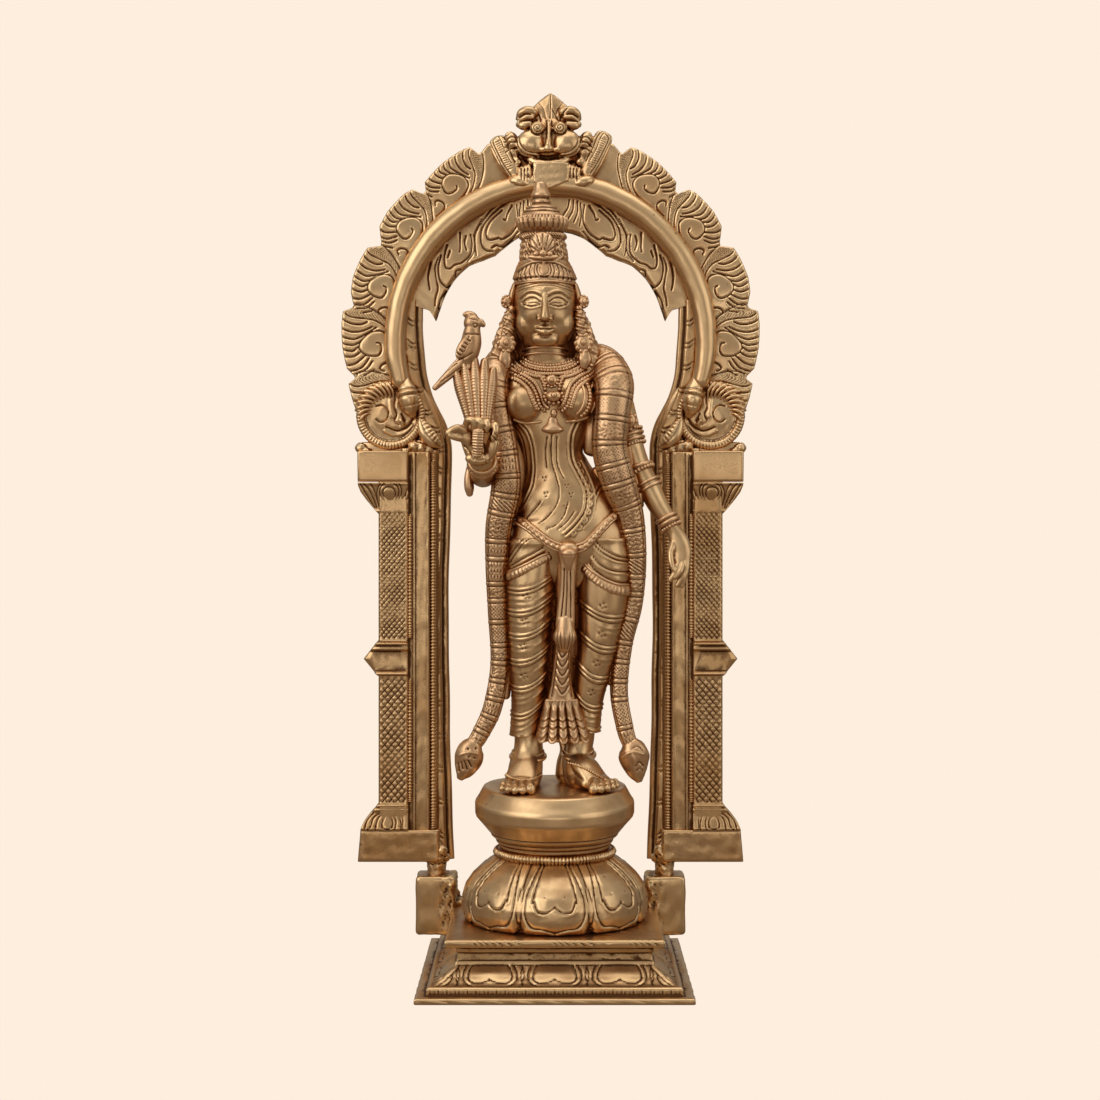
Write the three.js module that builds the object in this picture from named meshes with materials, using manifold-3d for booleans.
// A cast brass goddess on a round lotus pedestal, seated on a square base whose two side
// sockets hold the tenons of a flaming arch. Millimetres, +Z up, the front faces -Y.
// The origin is the middle of the base's underside.
import * as THREE from 'three';
import { mergeVertices } from 'three/addons/utils/BufferGeometryUtils.js';
import Module from 'manifold-3d';

const wasm = await Module();
wasm.setup();

// Square base
const slabWidth = 135;
const slabDepth = 135;
const slabHeight = 3;
const beadPlateInset = 5.5;
const beadPlateHeight = 4;
const slopeHeight = 8;
const slopeInset = 14;
const neckHeight = 9.5;
const topPlateOverhang = 6;
const topPlateHeight = 3.7;

// Socket blocks on the base, and the arch tenons in them
const socketWidth = 21.5;
const socketDepth = 20;
const socketBottom = 13;
const socketHeight = 31.3;
const tenonRadius = 5.2;
const tenonLength = 24;
const tenonClearance = 0.4;
const tenonShowing = 6.8;

// Round lotus pedestal under the figure
const seatGap = 0.3;
const lotusRadius = 47;
const lotusHeight = 32;
const petalCount = 8;
const petalDepth = 2.4;
const beadRingRadius = 30;
const beadRingHeight = 3.6;
const waistRadius = 27;
const discRadius = 40.6;
const discHeight = 32.7;

// Figure, from its soles to the top of its crown
const figureHeight = 300;
const soleSink = 0.4;

// Arch: two pillars beside the opening, and a leafy hoop on them
const archOffset = -2.2;
const archBack = 41;
const openingHalfWidth = 53.2;
const openingHoopRadius = 67.6;
const stripBand = 20.8;
const shaftWidth = 16.6;
const pillarThickness = 11.4;
const columnHeight = 216.7;
const capitalBlockHeight = 16.4;
const capitalTaperHeight = 16;
const capitalOverhang = 11.1;
const bandRise = 107;
const bandHalfHeight = 9.4;
const bandOverhang = 8.2;
const footHeight = 30.2;
const footBlockHeight = 17;
const hoopRise = 64.1;
const hoopRadius = 80.5;
const mouldingRadius = 5.4;
const plateThickness = 5;
const innerPlateThickness = 4;
const leafBand = 23.5;
const leafGrowth = 0.066;
const leafPitch = 20.3;
const leafCount = 5;
const firstLeaf = 23.7;
const coilRadius = 18.4;
const crestRise = 45;

// Heights and widths that follow from the sizes above
const baseHeight = slabHeight + beadPlateHeight + slopeHeight + neckHeight + topPlateHeight;
const pedestalBottom = baseHeight + seatGap;
const ringBottom = pedestalBottom + lotusHeight;
const discTop = ringBottom + beadRingHeight + discHeight;
const socketTop = socketBottom + socketHeight;
const tenonX = openingHalfWidth + 7.1;
const tenonY = archBack - tenonRadius - 0.3;
const archBottom = socketTop + tenonShowing;
const capitalTop = archBottom + columnHeight;
const columnInner = openingHalfWidth + stripBand;
const columnOuter = columnInner + shaftWidth;
const capitalOuter = columnOuter + capitalOverhang;
const hoopHeight = capitalTop + hoopRise;
const leafRadius = hoopRadius + leafBand;
const crestHeight = hoopHeight + hoopRadius + crestRise;
const unit = figureHeight / 300;
const degree = Math.PI / 180;

const brass = (name, colour, roughness) =>
  new THREE.MeshStandardMaterial({ name, color: colour, metalness: 1, roughness });

// Solids from geometries, and back

function solid(geometry) {
  const bare = geometry.index ? geometry.toNonIndexed() : geometry.clone();
  bare.deleteAttribute('normal');
  bare.deleteAttribute('uv');
  const merged = mergeVertices(bare, 1e-4);
  const triangles = [];
  const index = merged.index.array;
  for (let i = 0; i < index.length; i += 3) {
    const [a, b, c] = [index[i], index[i + 1], index[i + 2]];
    if (a !== b && b !== c && a !== c) triangles.push(a, b, c);
  }
  return new wasm.Manifold(new wasm.Mesh({
    numProp: 3,
    vertProperties: merged.attributes.position.array,
    triVerts: new Uint32Array(triangles),
  }));
}

const join = (solids) => solids.reduce((whole, piece) => whole.add(piece));

function meshOf(name, whole, material) {
  const made = whole.getMesh();
  const geometry = new THREE.BufferGeometry()
    .setAttribute('position', new THREE.BufferAttribute(made.vertProperties, made.numProp))
    .setIndex(new THREE.BufferAttribute(made.triVerts, 1));
  geometry.computeVertexNormals();
  const mesh = new THREE.Mesh(geometry, material);
  mesh.name = name;
  return mesh;
}

// A tube along +Z is a CylinderGeometry whose rows of vertices are moved by a function of the
// row and of the direction (cos, sin) in that row; reach is 0 at the middle of an end cap.
function rows(sides, count, place) {
  const geometry = new THREE.CylinderGeometry(1, 1, 1, sides, count - 1);
  const position = geometry.attributes.position;
  for (let i = 0; i < position.count; i++) {
    const row = Math.round((position.getY(i) + 0.5) * (count - 1));
    const point = place(row, position.getX(i), -position.getZ(i));
    position.setXYZ(i, point.x, point.y, point.z);
  }
  return geometry;
}

// Smooth values between stations, each a list of numbers
function between(stations, share) {
  const at = share * (stations.length - 1);
  const i = Math.min(Math.floor(at), stations.length - 2);
  const t = at - i;
  const row = (k) => stations[Math.max(0, Math.min(stations.length - 1, k))];
  return stations[0].map((unused, k) => {
    const [a, b, c, d] = [row(i - 1)[k], row(i)[k], row(i + 1)[k], row(i + 2)[k]];
    return 0.5 * (2 * b + (c - a) * t + (2 * a - 5 * b + 4 * c - d) * t * t
      + (3 * b - a - 3 * c + d) * t * t * t);
  });
}

// An upright form: stations are [x, y, z, half width, half depth] on level rings.
// swell(share, direction) scales a ring, and drop(direction) lowers one side of every ring.
function column(stations, sides, steps, swell = () => 1, drop = () => 0) {
  return solid(rows(sides, steps + 1, (row, cos, sin) => {
    const share = row / steps;
    const [x, y, z, w, d] = between(stations, share);
    const size = swell(share, cos, sin);
    return new THREE.Vector3(x + cos * w * size, y + sin * d * size, z + drop(cos, sin, share));
  }));
}

// A limb in any direction: stations are [x, y, z, half width, half depth], the rings stand
// square to its line, and both ends are rounded.
function limb(stations, sides, steps, swell = () => 1, reference = [0, 1, 0]) {
  const ref = new THREE.Vector3(...reference);
  const last = steps + 2;
  return solid(rows(sides, last + 1, (row, cos, sin) => {
    const share = Math.min(1, Math.max(0, (row - 1) / steps));
    const here = between(stations, share);
    const step = 0.5 / steps;
    const ahead = new THREE.Vector3(...between(stations, Math.min(1, share + step)).slice(0, 3));
    const behind = new THREE.Vector3(...between(stations, Math.max(0, share - step)).slice(0, 3));
    const along = ahead.sub(behind).normalize();
    const side = ref.clone().cross(along).normalize();
    const front = along.clone().cross(side);
    const isEnd = row === 0 || row === last;
    const size = swell(share) * (isEnd ? 0.45 : 1);
    const point = new THREE.Vector3(...here.slice(0, 3));
    point.addScaledVector(side, cos * here[3] * size).addScaledVector(front, sin * here[4] * size);
    if (isEnd) point.addScaledVector(along, (row === 0 ? -0.7 : 0.7) * Math.min(here[3], here[4]));
    return point;
  }));
}

// An ellipsoid with its poles on Z, turned by Euler angles in degrees
function blob([x, y, z], [w, d, h], sides = 6, rings = 4, turn = [0, 0, 0]) {
  const geometry = new THREE.SphereGeometry(1, sides, rings);
  geometry.rotateX(Math.PI / 2).scale(w, d, h);
  geometry.applyMatrix4(new THREE.Matrix4().makeRotationFromEuler(
    new THREE.Euler(...turn.map((a) => a * degree))));
  return solid(geometry.translate(x, y, z));
}

function lathe(profile, segments) {
  const points = profile.map(([r, z]) => new THREE.Vector2(r, z));
  return solid(new THREE.LatheGeometry(points, segments).rotateX(Math.PI / 2));
}

const box = (w, d, h, x, y, z) => solid(new THREE.BoxGeometry(w, d, h).translate(x, y, z));

// A flat outline in X and Z, from its back plane towards the front by its thickness
function slice(points, back, thickness, bevel = 0) {
  const shape = new THREE.Shape(points.map(([x, z]) => new THREE.Vector2(x, z)));
  const geometry = new THREE.ExtrudeGeometry(shape, {
    depth: thickness - bevel,
    bevelEnabled: bevel > 0,
    bevelThickness: bevel,
    bevelSize: bevel * 0.8,
    bevelOffset: -bevel * 0.8,
    bevelSegments: 1,
  });
  return solid(geometry.rotateX(Math.PI / 2).translate(0, back, 0));
}

// The base: a slab, a beaded plate, a sloping band of petals, a neck and an overhanging plate

function frustum(lowerWidth, lowerDepth, upperWidth, upperDepth, z, height) {
  const geometry = new THREE.BoxGeometry(1, 1, height).translate(0, 0, z + height / 2);
  const position = geometry.attributes.position;
  for (let i = 0; i < position.count; i++) {
    const isUpper = position.getZ(i) > z + height / 2;
    position.setX(i, position.getX(i) * (isUpper ? upperWidth : lowerWidth));
    position.setY(i, position.getY(i) * (isUpper ? upperDepth : lowerDepth));
  }
  return solid(geometry);
}

function makeBase() {
  const overlap = 0.5;
  const plateWidth = slabWidth - 2 * beadPlateInset;
  const plateDepth = slabDepth - 2 * beadPlateInset;
  const neckWidth = plateWidth - 2 * slopeInset;
  const neckDepth = plateDepth - 2 * slopeInset;
  const slopeBottom = slabHeight + beadPlateHeight;
  const neckBottom = slopeBottom + slopeHeight;
  const topBottom = neckBottom + neckHeight;
  const topWidth = neckWidth + 2 * topPlateOverhang;
  const topDepth = neckDepth + 2 * topPlateOverhang;
  const pieces = [
    frustum(slabWidth, slabDepth, slabWidth - 2, slabDepth - 2, 0, slabHeight),
    frustum(plateWidth, plateDepth, plateWidth - 1, plateDepth - 1,
      slabHeight - overlap, beadPlateHeight + overlap),
    frustum(plateWidth - 4, plateDepth - 4, neckWidth + 2, neckDepth + 2,
      slopeBottom - overlap, slopeHeight + overlap),
    frustum(neckWidth, neckDepth, neckWidth, neckDepth, neckBottom - overlap, neckHeight + 2 * overlap),
    frustum(topWidth - 1.5, topDepth - 1.5, topWidth, topDepth, topBottom, topPlateHeight),
  ];
  // Three low petals on each side of the sloping band
  const slopeTilt = Math.atan2(slopeHeight, slopeInset - 3);
  const petalPitch = (neckWidth + 8) / 3;
  for (let side = 0; side < 4; side++) {
    const reach = (side % 2 ? plateWidth : plateDepth) / 2 - slopeInset / 2 - 0.8;
    for (let i = -1; i <= 1; i++) {
      const petal = new THREE.SphereGeometry(1, 6, 3).scale(petalPitch * 0.42, 6, 1.3);
      petal.rotateX(slopeTilt).translate(i * petalPitch, -reach, slopeBottom + slopeHeight / 2 - 0.4);
      pieces.push(solid(petal.rotateZ(side * Math.PI / 2)));
    }
  }
  // The socket blocks, each with a web back to the stepped plates
  const webStart = neckWidth / 2 - 4;
  for (const side of [-1, 1]) {
    const x = archOffset + side * tenonX;
    const webWidth = Math.abs(x) - webStart;
    pieces.push(
      box(socketWidth, socketDepth, socketHeight, x, tenonY, socketBottom + socketHeight / 2),
      box(webWidth, socketDepth * 0.7, socketHeight * 0.6,
        side * (webStart + webWidth / 2), tenonY, socketBottom + socketHeight * 0.3),
    );
  }
  const holeDepth = tenonLength + tenonClearance;
  const holes = [-1, 1].map((side) => {
    const radius = tenonRadius + tenonClearance;
    const hole = new THREE.CylinderGeometry(radius, radius, holeDepth + 2, 12).rotateX(Math.PI / 2);
    return solid(hole.translate(archOffset + side * tenonX, tenonY, socketTop + 1 - holeDepth / 2));
  });
  return join(pieces).subtract(join(holes));
}

// The pedestal: eight petals, a beaded ring, a waist and a disc

function makePedestal() {
  const profile = [[0.91, 0], [1, 0.22], [0.92, 0.58], [0.66, 1]];
  const lotus = solid(rows(petalCount * 4, profile.length, (row, cos, sin) => {
    const [r, z] = profile[row];
    const turn = Math.atan2(sin, cos) + Math.PI / 2;
    const ridge = Math.abs(Math.cos(turn * petalCount / 2));
    const radius = lotusRadius * r - petalDepth * (1 - Math.min(1, ridge * 1.5)) * (1 - 0.5 * z);
    return new THREE.Vector3(cos * radius, sin * radius,
      pedestalBottom + z * lotusHeight + (row === 0 ? 2.4 * (1 - ridge) : 0));
  }));
  const neck = ringBottom + beadRingHeight;
  const turned = lathe([
    [0, ringBottom - 6], [beadRingRadius, ringBottom - 6],
    [beadRingRadius, neck - 0.4], [waistRadius, neck + 1.5],
    [waistRadius + 1.4, neck + 5], [waistRadius + 8.4, neck + 9.4], [discRadius, neck + 17.4],
    [discRadius, neck + 23.5], [discRadius - 5, discTop], [0, discTop],
  ], 20);
  return lotus.add(turned);
}

// The figure, in units of a three-hundredth of its height, x and z from the middle of the soles.
// Her right side is at -x.

const headX = -5;

// Raised folds: every second ring of a leg stands proud
const folds = (steps, first, last) => (share) => {
  const row = Math.round(share * steps);
  return row % 2 && share > first && share < last ? 1.08 : 1;
};

function makeLegs() {
  const right = [[-15, 1, 26.2, 8.6, 10.8], [-13, 0.5, 42, 9.6, 10.8], [-12.4, -1, 68, 11.4, 12.5],
    [-12.1, -1, 94, 12.8, 14], [-10.6, 0, 116, 13.6, 15]];
  const left = [[16, 1, 27.4, 8, 10.8], [16.5, 0.5, 42, 8.9, 10.8], [20.8, -1, 68, 10.9, 12.5],
    [24, -1, 94, 13.6, 14], [24.6, 0, 116, 14.8, 15]];
  return [
    column(right, 9, 12, folds(12, 0.05, 0.9), (cos, sin) => 1.6 * cos + 1.2 * sin),
    column(left, 9, 12, folds(12, 0.05, 0.9), (cos, sin) => -1.6 * cos + 1.2 * sin),
  ];
}

function makeFoot(ankle, heel, toe, spread) {
  const sole = [(heel[0] + toe[0]) / 2, (heel[1] + toe[1]) / 2];
  const inner = Math.sign(heel[0]) * -1;
  return [
    limb([
      [...ankle, 6, 6.4], [ankle[0], ankle[1] + 1, 13, 7, 7.6], [heel[0], heel[1] - 4, 5.5, 5.6, 5.4],
    ], 6, 2),
    limb([
      [heel[0], heel[1], 4.2, 4.6, 4.2], [...sole, 4.8, 6.4, 4.8], [toe[0], toe[1], 2.8, spread, 2.8],
    ], 6, 3, () => 1, [0, 0, 1]),
    blob([toe[0] + inner * spread * 0.6, toe[1] - 3, 2.6], [2.6, 3.4, 2.6], 5, 3),
  ];
}

// Hips, belt, waist, chest and neck in one form; the belt's rings dip at the front
function makeTorso() {
  const body = [
    [6, 1, 108, 28, 14], [7, 1, 118, 31, 16.4], [7.4, 1, 128, 31, 17],
    [6.8, 1, 132.4, 29, 16.8], [6.6, 1, 135.5, 30.8, 18.8], [6.2, 1, 138.6, 27.2, 16.4],
    [3.4, 1, 149, 22.8, 14.4], [0, 1.5, 161, 17.2, 12.2], [-1.6, 1.5, 170, 16.4, 11.6],
    [-2.2, 1.3, 182, 20.4, 12.5], [-2.6, 1, 195, 24.8, 12.6], [-3, 2, 206, 27.6, 11],
    [-4.2, 3, 214.6, 16.4, 8.5], [-4.8, 2.4, 219, 11.4, 9.6], [-5, 1.2, 230, 10.8, 10.6],
  ];
  const beltDip = (cos, sin, share) => {
    const front = Math.max(0, -sin);
    return -15 * front * front * Math.exp(-(((share - 0.25) / 0.16) ** 4));
  };
  return [
    column(body, 12, body.length - 1, () => 1, beltDip),
    blob([-16.6, -9, 194.5], [9.8, 9.8, 10], 7, 5),
    blob([11.6, -9, 195], [9.8, 9.8, 10], 7, 5),
  ];
}

function makeHead() {
  const skull = [
    [headX, -7.5, 222.8, 4.5, 4.5], [headX, -4.6, 226.4, 10, 10.6], [headX, -2, 232.5, 13.6, 14.6],
    [headX, -0.4, 241, 15.9, 16.6], [headX, 0, 250, 16.4, 17.2], [headX, 1, 262, 15.4, 16.4],
  ];
  const crown = [
    [0, 259], [16.8, 259], [15.7, 266.6], [13.8, 269], [11.4, 277], [12.8, 278.6], [10.6, 281.6],
    [13.4, 287], [8.6, 294.4], [4.2, 297.4], [5.2, 301], [2.6, 305], [3.6, 312.4], [0, 315],
  ];
  const pieces = [
    column(skull, 10, 5),
    solid(new THREE.LatheGeometry(crown.map(([r, z]) => new THREE.Vector2(r, z)), 9)
      .rotateX(Math.PI / 2).translate(headX, 0.6, 0)),
    limb([[headX, -15.6, 250, 1.6, 1.6], [headX, -18.2, 239, 2.8, 2.2]], 4, 1),
    blob([headX, -14.4, 232], [4.6, 2.6, 2.4], 5, 3),
    blob([headX, -12.2, 266.5], [5.6, 4.4, 6], 6, 4),
  ];
  for (const side of [-1, 1]) {
    const x = (offset) => headX + side * offset;
    pieces.push(
      blob([x(6.8), -14, 244.6], [4, 2.2, 1.9], 5, 3, [0, 0, side * 14]),
      limb([[x(16.4), 0, 252, 2.4, 3.6], [x(17), -1, 243, 2.4, 3.2], [x(19), -2, 231, 2, 2.4]], 4, 2),
      blob([x(19.8), -4, 227.4], [5, 3.8, 5.6], 6, 4),
    );
  }
  return pieces;
}

// A collar lies square on the chest, and two strands meet at a pendant
function makeNecklaces() {
  const collar = [0, 45, 90, 135, 180].map((angle) => [-4 - Math.cos(angle * degree) * 20.6,
    4 - Math.sin(angle * degree) * 14.6, 214 - Math.sin(angle * degree) * 9, 5, 3.4]);
  return [
    limb(collar, 4, 4, () => 1, [0, 0, 1]),
    limb([[-18, -9, 206, 1.9, 4.4], [-10, -13, 198, 2, 4.4], [-2.6, -10, 183, 2, 4.4]], 4, 2),
    limb([[12, -9, 206, 1.9, 4.4], [5, -13, 198, 2, 4.4], [-2.6, -10, 183, 2, 4.4]], 4, 2),
    blob([-2.4, -12, 180.6], [6, 3.8, 3.4], 6, 4),
  ];
}

// Below the belt's clasp hang a double cord, two swags and a sash that ends in a fan of pleats
function makeSash() {
  const pleats = 12;
  const fan = [[2.2, -8.4, 24.4, 12, 7.4], [2.8, -8.8, 36, 8.6, 7.2], [4, -9.4, 52, 5.6, 6.8],
    [5, -9.6, 78, 4.8, 6.6], [6, -7, 112, 6, 8]];
  const pleated = (share, cos, sin) => {
    const fold = Math.round(Math.atan2(sin, cos) / (2 * Math.PI) * pleats);
    return 1 + (fold % 2 ? 0.13 : -0.04) * (1 - share);
  };
  return [
    column(fan, pleats, 4, pleated),
    limb([
      [6.8, -16.6, 118, 4.4, 3.6], [6.8, -16.4, 111, 3.6, 2.6], [5.6, -15.4, 86, 3.8, 2.4],
      [5, -15, 76, 4.2, 4], [5, -14.6, 71, 2, 2],
    ], 5, 4),
    limb([
      [3, -15, 119, 3, 2.6], [-8, -15.4, 110, 3, 3], [-19, -11, 102.5, 2.8, 2.8], [-24, -2, 104, 2.4, 2],
    ], 4, 3),
    limb([
      [9, -15, 119, 3, 2.6], [18, -16, 104, 3, 3], [31, -12.6, 97, 2.8, 2.8], [37.4, -2, 99, 2.4, 2],
    ], 4, 3),
  ];
}

// Long garlands come over both shoulders, down outside the legs, and end in buds
function makeGarlands() {
  const right = [
    [-9, 11, 218, 7, 6], [-27, 4, 217.5, 8, 8], [-31, -7, 205, 8, 8], [-28, -9, 186, 7.5, 7],
    [-25, -8, 166, 7, 6.6], [-26, -6, 142, 7.2, 6], [-28.6, -3, 114.5, 5.6, 5.2], [-28.2, -2, 88, 5, 4.8],
    [-27.2, -2, 60, 4.6, 4.4], [-33, -3, 37, 4.3, 4.1], [-39.6, -4, 24, 4, 3.8], [-43, -4.4, 16, 7, 5.6],
    [-46.6, -5, 7, 4.8, 4.4], [-48.4, -5, 2.5, 1.6, 1.6],
  ];
  const left = [
    [3, 11, 218, 7, 6], [24, 5, 219.5, 10, 8.5], [30.6, -6, 207, 10.8, 9.6], [28.6, -10, 190, 9.6, 9],
    [27, -10, 170, 9, 8.4], [32, -9, 154, 9.4, 8], [38.4, -6, 136, 7, 6.2], [42, -3.6, 114, 5.4, 5.2],
    [40.4, -2, 92, 5, 4.8], [35.8, -2, 72, 4.8, 4.6], [34.2, -2.4, 48, 4.5, 4.3], [37.4, -4, 27, 4.3, 4.1],
    [39.8, -4.4, 18, 8, 6], [42.6, -5, 8, 6.6, 5.2], [44, -5, 1, 1.6, 1.6],
  ];
  const banded = (steps) => (share) => (Math.round(share * steps) % 2 && share < 0.74 ? 1.1 : 1);
  return [limb(right, 5, 16, banded(16)), limb(left, 5, 16, banded(16))];
}

// Her right hand is raised at the waist and pinches the bunch; the left hangs with fingers bent back.
// The thicker rings are bracelets and armlets.
function makeArms() {
  const upper = [
    [-26, 3, 210, 7.5, 7.5], [-30.5, 3, 203, 8.2, 8], [-34, 2, 190, 7, 7.2], [-36, 0, 174, 6.5, 7],
    [-36.5, -1, 160, 6.6, 7],
  ];
  const fore = [
    [-36.5, 1, 158.5, 6.8, 6.6], [-36.4, -12, 159.6, 6.6, 6.4], [-36.1, -23, 162.6, 5.6, 5.4],
    [-36, -25.4, 163.6, 7.2, 7], [-36, -28, 164.8, 7, 6.8], [-36, -30.4, 165.8, 5, 4.8],
  ];
  const hanging = [
    [26, 3, 210, 7.6, 7.6], [34, 3, 200, 7.6, 7.8], [40.4, 2.2, 185, 6.6, 7], [42.4, 1.6, 178.6, 8.2, 8],
    [44.2, 1.4, 174, 6.2, 6.6], [47.6, 0.8, 164.5, 7.6, 7.6], [50, 0, 157, 6.4, 6.4],
    [56.8, -2.6, 141, 4.9, 5], [59.2, -3.8, 135, 6.4, 6.4], [60.6, -4.4, 131.4, 4.2, 4],
    [61.6, -5, 128, 4, 3.6],
  ];
  const straight = (stations, sides, reference) =>
    limb(stations, sides, stations.length - 1, () => 1, reference);
  return [
    straight(upper, 6),
    straight(fore, 6, [0, 0, 1]),
    straight(hanging, 6),
    straight([[-43, 1, 163, 2.4, 2.6], [-43.4, 0, 151, 2.6, 2.8]], 4),
    blob([-36.6, -33, 171.5], [7.6, 5.6, 9.2], 6, 4),
    straight([[-41, -34, 176, 2.4, 2.4], [-45, -38, 181, 2.2, 2.2], [-50.4, -38, 183.6, 1.8, 1.8]], 4),
    straight([[-33, -35, 178, 3.4, 2.4], [-38, -39.4, 183, 2.8, 2.2], [-44.6, -39.6, 184.6, 2, 1.8]], 4),
    straight([[-33.6, -36, 170, 4, 2.4], [-33, -40.4, 178, 3.4, 2]], 4),
    straight([
      [64, -6, 127, 4.4, 3], [65, -7.6, 119, 4.8, 2.6],
      [65.4, -9.4, 111, 4.4, 2], [62.4, -9.6, 105.4, 3, 1.4],
    ], 5),
    straight([[61, -8, 124, 1.8, 1.8], [58.8, -10.6, 117, 1.7, 1.7], [58.6, -10.6, 111.6, 1.3, 1.3]], 4),
  ];
}

// A bunch of long buds rises from the raised hand, and a parrot sits on it
function makeBirdAndFlower() {
  const buds = [-1.2, 0, 1.2].map((lean) => limb([[-37 + lean * 2.4, -37, 179, 2.2, 2.6],
    [-38.8 + lean * 4, -36, 197, 3.3, 3.4], [-40 + lean * 4.8, -35, 213, 2.2, 2.4]], 4, 2));
  return [
    ...buds,
    limb([[-42, -35, 212, 3, 3.4], [-41.6, -35, 221, 5.4, 5], [-40.4, -35, 230, 3.8, 3.8],
      [-41, -35, 236, 4.2, 4], [-43, -35, 240.6, 1.6, 1.4]], 5, 4),
    limb([[-43, -34.4, 219, 4, 3.4], [-50, -34, 211, 2.8, 2.2], [-58.4, -33.6, 200.6, 1.4, 1.2]], 4, 2),
    limb([[-37.8, -35.4, 236.4, 2, 2], [-34.4, -35.8, 233.4, 0.9, 0.9]], 4, 1),
  ];
}

function makeFigure() {
  const pieces = [
    ...makeLegs(), ...makeTorso(), ...makeHead(), ...makeNecklaces(), ...makeSash(), ...makeGarlands(),
    ...makeArms(), ...makeBirdAndFlower(),
    ...makeFoot([-14.6, 1, 31], [-12.6, 10, 0], [-19.2, -20, 0], 8.4),
    ...makeFoot([15.6, 2, 31], [5.6, 8, 0], [23, -17.5, 0], 8.2),
  ];
  return join(pieces).scale(unit).translate(0, 0, discTop);
}

// Figure and pedestal are one casting; the soles sink a little into the disc
const makeStatue = () => makePedestal().add(makeFigure().translate(0, 0, -soleSink));

// The arch. Angles are degrees from the top of the hoop, and side is -1 or 1.

function onHoop(angle, radius) {
  return [Math.sin(angle * degree) * radius, hoopHeight + Math.cos(angle * degree) * radius];
}

function leafOutline(side) {
  const points = [];
  for (let leaf = 0; leaf < leafCount; leaf++) {
    for (const [share, rise] of [[0, 0.4], [0.34, 0.8], [0.66, 1], [0.86, 0], [0.94, -5.6]]) {
      const angle = firstLeaf + (leaf + share) * leafPitch;
      if (angle < 122) points.push(onHoop(side * angle, leafRadius + leafGrowth * angle + rise));
    }
  }
  return points;
}

function makeHoopPlate() {
  const half = (side) => [
    ...[[8, 13], [11, 4.5], [16.5, -2.5]].map(([angle, rise]) => onHoop(side * angle, leafRadius + rise)),
    ...leafOutline(side),
    [side * (capitalOuter - 4), capitalTop - 2],
    [side * (openingHalfWidth + 6), capitalTop - 2],
    ...[112, 84, 56, 28].map((angle) => onHoop(side * angle, hoopRadius)),
  ];
  const outline = [[0, crestHeight - 3], ...half(1), onHoop(0, hoopRadius), ...half(-1).reverse()];
  return slice(outline, archBack, plateThickness);
}

// Three hanging leaves on each side of the middle, inside the moulding
function makeInnerLeaves() {
  const leafSpan = 27;
  const lowest = hoopRadius - 29.5;
  const points = [];
  for (let angle = -3 * leafSpan; angle <= 3 * leafSpan; angle += leafSpan / 3) {
    const reach = lowest + Math.abs(angle) * 0.06;
    points.push(onHoop(angle, angle % leafSpan === 0 ? reach : reach + 3.6));
  }
  for (let angle = 84; angle >= -84; angle -= 28) points.push(onHoop(angle, hoopRadius + 2));
  return slice(points, archBack, innerPlateThickness);
}

// The moulding round the hoop
function makeMoulding() {
  const stations = [];
  const middle = archBack - innerPlateThickness - mouldingRadius * 0.7;
  for (let angle = -110; angle <= 110; angle += 11) {
    const [x, z] = onHoop(angle, hoopRadius);
    stations.push([x, middle, z, mouldingRadius, mouldingRadius]);
  }
  return limb(stations, 5, 18);
}

// Two stepped strips line the opening, reach out to the moulding and run on down the pillars
function makeStrips(side) {
  const inner = [84, 95, 106].map((angle) => onHoop(angle, openingHoopRadius));
  const outer = [84, 95, 106, 117].map((angle) => onHoop(angle, hoopRadius)).reverse();
  const below = [[9.6, 29.7], [2.5, 15.2], [0, -1.5]]
    .map(([across, up]) => [openingHalfWidth + across, capitalTop + up]);
  const foot = (across) => [openingHalfWidth + across, archBottom];
  const edge = (across) => [
    ...inner.map(([x, z]) => [Math.max(openingHalfWidth, x) + across, z]),
    ...below.map(([x, z]) => [x + across, z]), foot(across),
  ];
  const mirrored = (points) => points.map(([x, z]) => [side * x, z]);
  return [
    slice(mirrored([...edge(0), foot(8.4), ...outer]), archBack, innerPlateThickness),
    slice(mirrored([...edge(2.6), foot(9), ...outer]), archBack, innerPlateThickness + 2.4),
  ];
}

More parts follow.
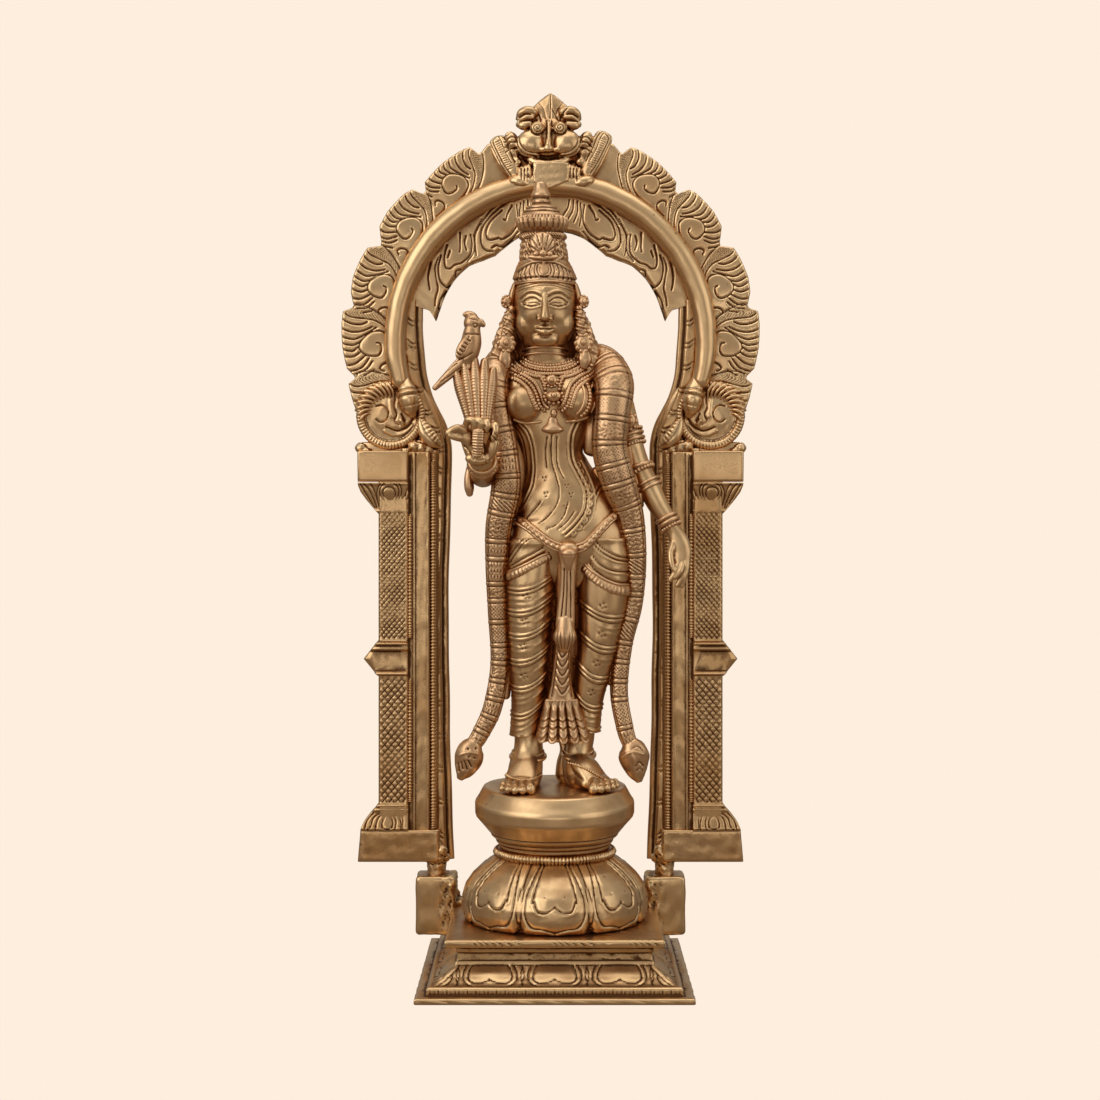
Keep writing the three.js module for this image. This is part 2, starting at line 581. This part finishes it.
function makePillar(side) {
  const capitalBottom = capitalTop - capitalBlockHeight;
  const shaftTop = capitalBottom - capitalTaperHeight;
  const footTop = archBottom + footHeight;
  const footOuter = capitalOuter - 1.3;
  const bandMiddle = archBottom + bandRise;
  const bandOuter = columnOuter + bandOverhang;
  const mirrored = (points) => points.map(([x, z]) => [side * x, z]);
  const outline = mirrored([
    [columnInner, capitalTop - 0.2], [capitalOuter, capitalTop - 0.2], [capitalOuter, capitalBottom],
    [columnOuter, shaftTop], [columnOuter, bandMiddle + bandHalfHeight], [bandOuter, bandMiddle],
    [columnOuter, bandMiddle - bandHalfHeight], [columnOuter, footTop],
    [footOuter - 1.6, archBottom + footBlockHeight], [footOuter, archBottom], [columnInner, archBottom],
  ]);
  const band = mirrored([
    [columnInner + 1, bandMiddle - 6], [columnOuter, bandMiddle - 6], [bandOuter - 1, bandMiddle],
    [columnOuter, bandMiddle + 6], [columnInner + 1, bandMiddle + 6],
  ]);
  const strip = (from, to, low, high, thickness) => box(to - from, thickness, high - low,
    side * (from + to) / 2, archBack - thickness / 2, (low + high) / 2);
  const middle = side * (columnInner + columnOuter) / 2;
  const drop = (z) => blob([middle, archBack - pillarThickness, z], [5.2, 1.6, 6.6], 8, 4);
  const tenonTop = archBottom + 8;
  const tenonBottom = socketTop - tenonLength;
  const tenon = new THREE.CylinderGeometry(tenonRadius, tenonRadius, tenonTop - tenonBottom, 12);
  return [
    slice(outline, archBack, pillarThickness),
    slice(band, archBack, pillarThickness + 1.8),
    strip(columnInner + 1, capitalOuter - 0.4, capitalBottom + 0.6, capitalTop, pillarThickness + 1.8),
    strip(columnInner + 1, footOuter - 0.7, archBottom + 0.6, archBottom + footBlockHeight,
      pillarThickness + 1.4),
    strip(openingHalfWidth + 7, columnInner + 1, archBottom, capitalTop, pillarThickness - 2.6),
    strip(openingHalfWidth + 6.4, openingHalfWidth + 10, archBottom + 2, capitalTop - 4,
      pillarThickness - 1.4),
    drop(shaftTop + capitalTaperHeight / 2),
    drop(footTop - (footHeight - footBlockHeight) / 2),
    solid(tenon.rotateX(Math.PI / 2).translate(side * tenonX, tenonY, (tenonTop + tenonBottom) / 2)),
  ];
}

// One leaf's raised carving: a stem, two curved ribs at its edge, and a scroll between them
function makeLeafCarving(side, leaf) {
  const start = firstLeaf + leaf * leafPitch;
  const edge = leafRadius + leafGrowth * start;
  const front = archBack - plateThickness;
  const along = (path, turn) => path.map(([angle, radius]) => onHoop(side * (start + angle + turn), radius));
  const rib = (thick, ...path) => slice([...along(path, 0), ...along(path, thick).reverse()], front + 1, 2.4);
  const [x, z] = onHoop(side * (start + 11.6), edge - 12.4);
  return [
    rib(1.6, [-0.6, edge - 17], [0.8, edge - 8], [0.6, edge - 1]),
    rib(1.4, [6.6, edge - 8], [7.4, edge + 0.4]),
    rib(1.4, [11.6, edge - 8], [12.8, edge + 0.6]),
    blob([x, front, z], [3.8, 2, 3.8], 6, 3),
  ];
}

// The beast at each foot of the hoop: a coil with a ridged rim, and a bulb that bites the moulding
function makeFootBeast(side) {
  const front = archBack - plateThickness - 1;
  const middle = (columnInner + columnOuter) / 2 + 1.1;
  const coil = new THREE.LatheGeometry([[0, -3], [coilRadius, -3], [coilRadius, 1.4], [coilRadius - 4.8, 2.8],
    [coilRadius - 9, 1], [0, 4.6]].map(([r, out]) => new THREE.Vector2(r, out)), 12);
  const [bulbX, bulbZ] = onHoop(side * 113.7, hoopRadius);
  const curl = [[12.4, 3.2, 3.2], [15.4, 15.2, 3.4], [19.8, 26.2, 3]].map(([across, rise, size]) =>
    [side * (openingHalfWidth + across), front - 0.4, capitalTop + rise, size, size]);
  return [
    solid(coil.rotateX(Math.PI).translate(side * middle, front, capitalTop + coilRadius + 0.4)),
    limb(curl, 4, 2),
    blob([bulbX, front - 3.4, bulbZ], [5.8, 5.6, 5.2], 6, 4),
    box(30, 5.4, 8, side * middle, archBack - 2.7, capitalTop + 1),
  ];
}

// The lion mask at the top of the hoop, with paws on the moulding and a pointed leaf above.
// Its heights are from the top of the crest.
function makeCrestMask() {
  const front = archBack - plateThickness;
  const at = (down) => crestHeight - down;
  const leaf = [[-15.6, 17.4], [-15.4, 11.4], [-8.6, 8.4], [0, 0], [8.6, 8.4], [15.4, 11.4], [15.6, 17.4]];
  const chin = [[-10, 43.4], [-13, 56.4], [13, 56.4], [10, 43.4]];
  const upright = (points) => points.map(([x, down]) => [x, at(down)]);
  const pieces = [
    slice(upright(leaf), archBack, 7.6),
    slice(upright(chin), archBack, 9),
    blob([0, front - 2.4, at(31.8)], [19, 6.6, 14], 8, 5),
    limb([[0, front - 1, at(11.4), 2.2, 4.6], [0, front - 3.6, at(21.4), 2.6, 6.4],
      [0, front - 7.4, at(33.4), 3.8, 5.4]], 4, 2),
  ];
  for (const side of [-1, 1]) {
    pieces.push(
      blob([side * 9.4, front - 5.4, at(32.8)], [9.6, 5, 8.4], 6, 4),
      blob([side * 7.4, front - 6.6, at(21)], [4, 3.4, 4], 5, 3),
      limb([[side * 9, front - 1.4, at(17.4), 3, 3.4], [side * 16, front - 1.4, at(14.8), 2.4, 3.4]], 4, 1),
      limb([[side * 28, front, at(26.4), 5.4, 3], [side * 25, front - 2, at(38.4), 5.6, 3.8],
        [side * 16, front - 4, at(48.8), 4.4, 3.8]], 4, 2),
    );
  }
  return pieces;
}

function makeArch() {
  const pieces = [makeHoopPlate(), makeInnerLeaves(), makeMoulding(), ...makeCrestMask()];
  for (const side of [-1, 1]) {
    pieces.push(...makeStrips(side), ...makePillar(side), ...makeFootBeast(side));
    for (let leaf = 0; leaf < leafCount - 1; leaf++) pieces.push(...makeLeafCarving(side, leaf));
  }
  return join(pieces).translate(archOffset, 0, 0);
}

const root = new THREE.Group();
root.add(
  meshOf('figure_and_lotus', makeStatue(), brass('figure brass', 0xb98550, 0.3)),
  meshOf('square_base', makeBase(), brass('base brass', 0xa87a48, 0.32)),
  meshOf('flame_arch', makeArch(), brass('arch brass', 0xb0824c, 0.3)),
);

export default root;
